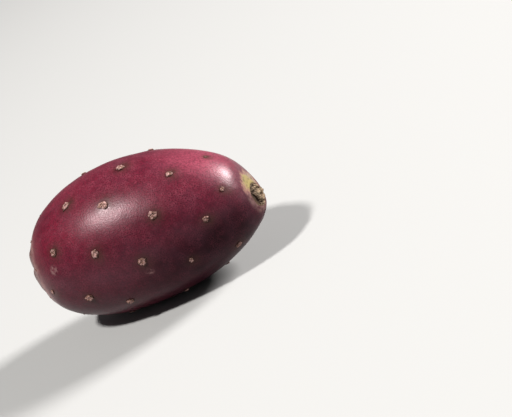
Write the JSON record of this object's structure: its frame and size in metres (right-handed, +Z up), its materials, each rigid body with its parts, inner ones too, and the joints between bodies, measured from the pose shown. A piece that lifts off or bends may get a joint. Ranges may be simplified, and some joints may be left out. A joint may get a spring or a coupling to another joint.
{
  "type": "prickly pear fruit",
  "caption": "Whole purple-red prickly pear fruit lying on its side, with corky areoles, a hollow flower cup at one end and a crusty stem scar at the other.",
  "frame": {"origin": "on the surface that the fruit lies on, under the middle of its box", "axes": "+X along the fruit towards its stem end, +Z up from the surface it lies on"},
  "size_m": [0.084, 0.054, 0.052],
  "materials": {
    "fruit_skin": "satin, waxy, with a thin pale bloom; tan corky areoles and scars"
  },
  "bodies": {
    "root": {"fruit": "fruit_skin"}
  },
  "joints": []
}
